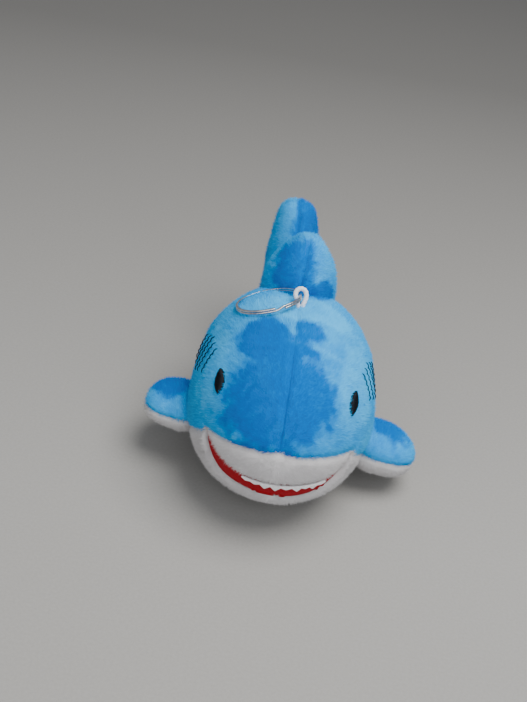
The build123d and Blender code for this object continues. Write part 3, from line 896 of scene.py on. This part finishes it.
def make_eye(side):
    """A pointed oval of satin stitch: close threads across its width, domed over their padding."""
    centre = np.array(EYE_CENTRE) * np.array([side, 1, 1])
    _, outward = on_body(centre, 0)
    along = unit(np.array(EYE_LONG_AXIS) - outward * np.dot(EYE_LONG_AXIS, outward))
    across = np.cross(along, outward)
    threads, steps, columns = EYE_GRID
    rows = threads * steps
    bulge = (EYE_HALF_LENGTH ** 2 - EYE_HALF_WIDTH ** 2) / (2 * EYE_HALF_WIDTH)
    radius = EYE_HALF_WIDTH + bulge
    gen = random.Random(3 + side)
    ragged = [gen.uniform(-0.16, 0.16) for _ in range(threads + 1)]
    verts = []
    for i in range(rows + 1):
        at = EYE_HALF_LENGTH * (2 * i / rows - 1)
        width = max(math.sqrt(radius ** 2 - at ** 2) - bulge, 0.25) + ragged[i // steps]
        thread = abs(math.sin(math.pi * i / steps))
        for j in range(columns + 1):
            off = 2 * j / columns - 1
            dome = (1 - abs(off) ** 2.5) ** 0.5
            lift = 1.0 + EYE_STAND * (1 - 0.35 * (at / EYE_HALF_LENGTH) ** 2) + 0.16 * thread
            stand = dome * lift - 1.0
            slant = 0.25 * off
            point = centre + along * (at + slant) + across * off * width
            place, _ = on_body(point, 0)
            verts.append(place + outward * stand)
    name = "eye_left" if side > 0 else "eye_right"
    eye = mesh_object(name + "_satin", verts, grid_quads(rows, columns))
    thicken(eye, 0.25)
    eye.data.materials.append(THREAD)
    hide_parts(name)
    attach(eye, "body")


def grid_quads(rows, columns):
    """Quads of a grid of points stored row by row."""
    return [(a, a + 1, a + columns + 2, a + columns + 1)
            for i in range(rows) for a in range(i * (columns + 1), i * (columns + 1) + columns)]


def tube_faces(spans, sides):
    """Quads along a tube of that many spans, and a cap at each end."""
    faces = []
    for i in range(spans):
        for j in range(sides):
            a, b = i * sides + j, i * sides + (j + 1) % sides
            faces.append((a, b, b + sides, a + sides))
    faces.append(tuple(reversed(range(sides))))
    faces.append(tuple(spans * sides + j for j in range(sides)))
    return faces


def tube(path, radius_at, sides):
    """Points and faces of a tube; radius_at(part of the length, turn round it) is its radius."""
    path = [Vector(p) for p in path]
    verts = []
    tangent = (path[1] - path[0]).normalized()
    normal = tangent.orthogonal().normalized()
    last = len(path) - 1
    for i, point in enumerate(path):
        ahead = (path[min(i + 1, last)] - path[max(i - 1, 0)]).normalized()
        normal = (normal - ahead * normal.dot(ahead)).normalized()
        binormal = ahead.cross(normal)
        for j in range(sides):
            turn = 2 * math.pi * j / sides
            r = radius_at(i / last, turn)
            verts.append(point + (normal * math.cos(turn) + binormal * math.sin(turn)) * r)
    return verts, tube_faces(last, sides)


def join_tubes(name, tubes, mat):
    verts, faces = [], []
    for points, quads in tubes:
        faces += [tuple(v + len(verts) for v in q) for q in quads]
        verts += [tuple(p) for p in points]
    obj = mesh_object(name, verts, faces)
    obj.data.materials.append(mat)
    return obj


def gill_stripes():
    """The middle of each stripe in side view, and its length."""
    top, bottom, offset = Vector(GILL_TOP), Vector(GILL_BOTTOM), Vector(GILL_STEP)
    steps = [i - (GILL_COUNT - 1) / 2 for i in range(GILL_COUNT)]
    middle, length = (top + bottom) / 2, (top - bottom).length
    return [(middle + offset * step, length - 1.8 * abs(step)) for step in steps]


def stitch_radius(at, turn):
    return GILL_THREAD * (0.55 + 0.45 * math.sin(math.pi * at))


def make_gills(side):
    """Five thin stripes, each a row of overlapping machine stitches pulled into the pile."""
    gen = random.Random(17 + side)
    along = (Vector(GILL_TOP) - Vector(GILL_BOTTOM)).normalized()
    across = Vector((along.y, -along.x))
    stand = 1.5 if side < 0 else 1.1
    stitches = []
    for middle, length in gill_stripes():
        count = round(length / GILL_STITCH)
        for k in range(count):
            spot = middle + along * length * ((k + 0.5) / count - 0.5)
            spot = spot + across * gen.uniform(-0.06, 0.06)
            path = []
            for part in (-STITCH_END, -0.4, 0.0, 0.4, STITCH_END):
                q = spot + along * part * GILL_STITCH + across * part * 0.08
                out = math.sqrt(float(body_radius(q.x)) ** 2 - (q.y - BODY_AXIS_Z) ** 2)
                place, _ = on_body((side * out, q.x, q.y), 0)
                outward = unit(np.array([side * out, 0.0, q.y - BODY_AXIS_Z]))
                path.append(place + outward * (stand - 0.55 * (part / STITCH_END) ** 2))
            stitches.append(tube(path, stitch_radius, 6))
    name = "gill_stitches_left" if side > 0 else "gill_stitches_right"
    obj = join_tubes(name + "_thread", stitches, THREAD)
    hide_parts(name)
    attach(obj, "body")


def make_stray_thread():
    """A loose end of the embroidery thread beside the right eye."""
    start = np.array(EYE_CENTRE) * np.array([-1, 1, 1]) + np.array([-0.6, -0.6, 3.4])
    path = []
    for i in range(13):
        part = i / 12
        bend = np.array([-3.4 * part, 0.9 * math.sin(3 * part), 1.2 * part + 0.8 * math.sin(2.6 * part)])
        place, _ = on_body(start + bend, 1.7 + 0.5 * math.sin(3 * part))
        path.append(place)
    obj = join_tubes("stray_thread", [tube(path, lambda at, turn: STRAY_THREAD, 6)], THREAD)
    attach(obj, "body")


def face_front(x, z):
    """The y of the body's smooth front surface at x, z."""
    y = np.linspace(NOSE_Y, WIDEST_Y, 400)
    return float(np.interp(math.hypot(x, z - BODY_AXIS_Z), body_radius(y), y))


def make_teeth():
    """One strip of white felt cut into small teeth, sewn under the muzzle's edge."""
    first, last = TOOTH_X[0] - TOOTH_HALF_WIDTH, TOOTH_X[-1] + TOOTH_HALF_WIDTH
    knots_x, knots_drop = [first], [0.0]
    for i, x in enumerate(TOOTH_X):
        knots_x.append(x)
        knots_drop.append(TOOTH_DEPTHS[i])
        following = TOOTH_X[i + 1] if i + 1 < len(TOOTH_X) else last + TOOTH_HALF_WIDTH
        knots_x.append(min((x + following) / 2, last))
        knots_drop.append(TOOTH_NOTCH)
    columns, rows = 150, 6
    verts = []
    for i in range(columns + 1):
        x = first + (last - first) * i / columns
        edge = float(lip_height(np.array(x), LIP_TOP_Z, LIP_TOP_POWER))
        drop = float(np.interp(x, knots_x, knots_drop))
        for j in range(rows + 1):
            z = edge + TOOTH_STRIP - (TOOTH_STRIP + drop) * j / rows
            out = 0.35 + 0.25 * j / rows
            y = face_front(x, z)
            outward = Vector((x, y - NOSE_Y - NOSE_RADIUS, z - BODY_AXIS_Z)).normalized()
            verts.append(Vector((x, y, z)) + outward * out)
    teeth = mesh_object("teeth_felt", verts, grid_quads(columns, rows))
    thicken(teeth, FELT)
    teeth.data.materials.append(WHITE_FELT)
    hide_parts("teeth")
    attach(teeth, "body")


# ============================ loop and ring ============================
LOOP_FOOT, LOOP_LEAN = (0.5, -11.0, 63.5), 35.0
LOOP_CORD = 0.85
# the cord's route in the loop's own plane: up one side, over the eye, and back to cross its foot
LOOP_PATH = ((0.5, 0.2, -3.4), (0.7, 0.2, -1.0), (1.5, 0.1, 2.0), (2.0, 0.0, 4.6),
             (1.3, -0.1, 6.6), (-0.5, -0.2, 7.2), (-1.9, -0.2, 6.0), (-1.9, -0.3, 4.2),
             (-0.9, -0.5, 2.2), (-0.5, -0.5, 0.0), (-0.6, -0.2, -3.4))
RING_MIDDLE, RING_WIDTH, RING_COIL, RING_ON_LOOP = 12.0, 1.0, 0.8, 4.7
RING_PITCH, RING_TILT = 13.5, 20.0
RING_START, RING_GAP = 292.0, 9.0      # where the wire's ends lie, and half the crossover, in degrees


def catmull(p, t):
    """A point part t of the way from p[1] to p[2] on a smooth curve through four points."""
    return ((p[1] * 2 + (p[2] - p[0]) * t + (p[0] * 2 - p[1] * 5 + p[2] * 4 - p[3]) * t * t
             + (p[1] * 3 - p[0] - p[2] * 3 + p[3]) * t ** 3) / 2)


def make_loop():
    """A teardrop of twisted white cord standing out of the back seam."""
    path = [Vector(p) for p in LOOP_PATH]
    path = [path[0]] + path + [path[-1]]
    smooth = []
    for i in range(1, len(path) - 2):
        for k in range(8):
            smooth.append(catmull(path[i - 1:i + 3], k / 8))
    smooth.append(path[-1])
    lean = Matrix.Rotation(math.radians(-LOOP_LEAN), 3, "X")
    smooth = [lean @ p + Vector(LOOP_FOOT) for p in smooth]
    cord = tube(smooth, lambda at, turn: LOOP_CORD * (1 + 0.10 * math.cos(3 * (turn - 42 * at))), 18)
    obj = join_tubes("cord_loop_twisted", [cord], CORD)
    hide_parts("cord_loop")
    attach(obj, "loop")


def make_ring():
    """A split ring: one flat wire wound twice, stepping from the lower coil to the upper one."""
    lean = math.radians(LOOP_LEAN)
    wire = Vector(LOOP_FOOT) + Vector((0, math.sin(lean), math.cos(lean))) * RING_ON_LOOP
    turn = (Matrix.Rotation(math.radians(-RING_PITCH), 3, "X")
            @ Matrix.Rotation(math.radians(-RING_TILT), 3, "Y"))
    section = []
    w, h, c = RING_WIDTH / 2, RING_COIL / 2, 0.22
    for x, y, start in ((w - c, h - c, 0), (c - w, h - c, 90), (c - w, c - h, 180), (w - c, c - h, 270)):
        for k in range(4):
            a = math.radians(start + 30 * k)
            section.append((x + c * math.cos(a), y + c * math.sin(a)))
    steps = 300
    verts = []
    for i in range(steps + 1):
        angle = RING_GAP + (720 - 2 * RING_GAP) * i / steps
        rise = min(max((angle - (360 - RING_GAP)) / (2 * RING_GAP), 0), 1)
        rise = (rise * rise * (3 - 2 * rise) - 0.5) * (RING_COIL + 0.04)
        around = math.radians(RING_START + angle)
        for x, y in section:
            r = RING_MIDDLE + x
            local = Vector((r * math.cos(around) - RING_MIDDLE, r * math.sin(around), rise + y))
            verts.append(wire + turn @ local)
    ring = join_tubes("split_ring_wire", [(verts, tube_faces(steps, len(section)))], STEEL)
    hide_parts("split_ring")
    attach(ring, "ring")


# ============================ stage, light, camera ============================
def floor_material():
    """Plain paper with painted shade that gets darker away from the camera."""
    mat, shader = principled("floor_paper", PAPER[0], 0.9)
    links = mat.node_tree.links
    grain = object_noise(mat, 900, 4.0)
    colours = ramp(mat, grain.outputs["Fac"], [(0.3, PAPER[0]), (0.7, PAPER[1])])
    coords = add_node(mat, "ShaderNodeTexCoord")
    depth = add_node(mat, "ShaderNodeSeparateXYZ")
    links.new(coords.outputs["Object"], depth.inputs["Vector"])
    away = add_node(mat, "ShaderNodeMapRange")
    near, far, dimmest = PAPER_PAINTED_SHADE
    for socket, value in (("From Min", near), ("From Max", far), ("To Min", 1.0), ("To Max", dimmest)):
        away.inputs[socket].default_value = value
    links.new(depth.outputs["Y"], away.inputs["Value"])
    shade = add_node(mat, "ShaderNodeVectorMath", operation="SCALE")
    links.new(colours.outputs["Color"], shade.inputs[0])
    links.new(away.outputs["Result"], shade.inputs["Scale"])
    links.new(shade.outputs["Vector"], shader.inputs["Base Color"])
    return mat


def stage():
    corners = [(-4000, -1500, 0), (4000, -1500, 0), (4000, 6000, 0), (-4000, 6000, 0)]
    floor = mesh_object("floor", corners, [(0, 1, 2, 3)])
    floor.data.materials.append(floor_material())
    for name, place, size, power, colour in LIGHTS:
        light = bpy.data.lights.new(name, "AREA")
        light.shape = "DISK"
        light.size = size
        light.energy = power
        light.color = colour
        lamp = new_object(name, light)
        lamp.location = place
        aim = Vector((0, -0.02, 0.03)) - Vector(place)
        lamp.rotation_euler = aim.to_track_quat("-Z", "Y").to_euler()
    world = bpy.data.worlds.new("room")
    world.use_nodes = True
    world.node_tree.nodes["Background"].inputs["Color"].default_value = (*ROOM_COLOUR, 1)
    world.node_tree.nodes["Background"].inputs["Strength"].default_value = ROOM_LIGHT
    bpy.context.scene.world = world


def camera():
    az, el = math.radians(CAMERA_AZIMUTH), math.radians(CAMERA_ELEVATION)
    towards = Vector((-math.sin(az) * math.cos(el), math.cos(az) * math.cos(el), -math.sin(el)))
    right = towards.cross(Vector((0, 0, 1))).normalized()
    up = right.cross(towards)
    roll = Matrix.Rotation(math.radians(CAMERA_ROLL), 3, towards)
    right, up = roll @ right, roll @ up
    target = Vector((0, WIDEST_Y * MM, BODY_AXIS_Z * MM))
    target = target + right * CAMERA_SLIDE[0] + up * CAMERA_SLIDE[1]
    data = bpy.data.cameras.new("camera")
    data.lens = CAMERA_LENS
    data.clip_start = 0.01
    cam = new_object("camera", data)
    basis = Matrix((right, up, -towards)).transposed()
    cam.matrix_world = Matrix.Translation(target - towards * CAMERA_DISTANCE) @ basis.to_4x4()
    bpy.context.scene.camera = cam


camera()
stage()
body_pieces, SKIN = build_body()
make_body_panels(body_pieces)
make_body_stuffing()
make_fins()
for shark_side in (-1, 1):
    make_eye(shark_side)
    make_gills(shark_side)
make_stray_thread()
make_teeth()
make_loop()
make_ring()
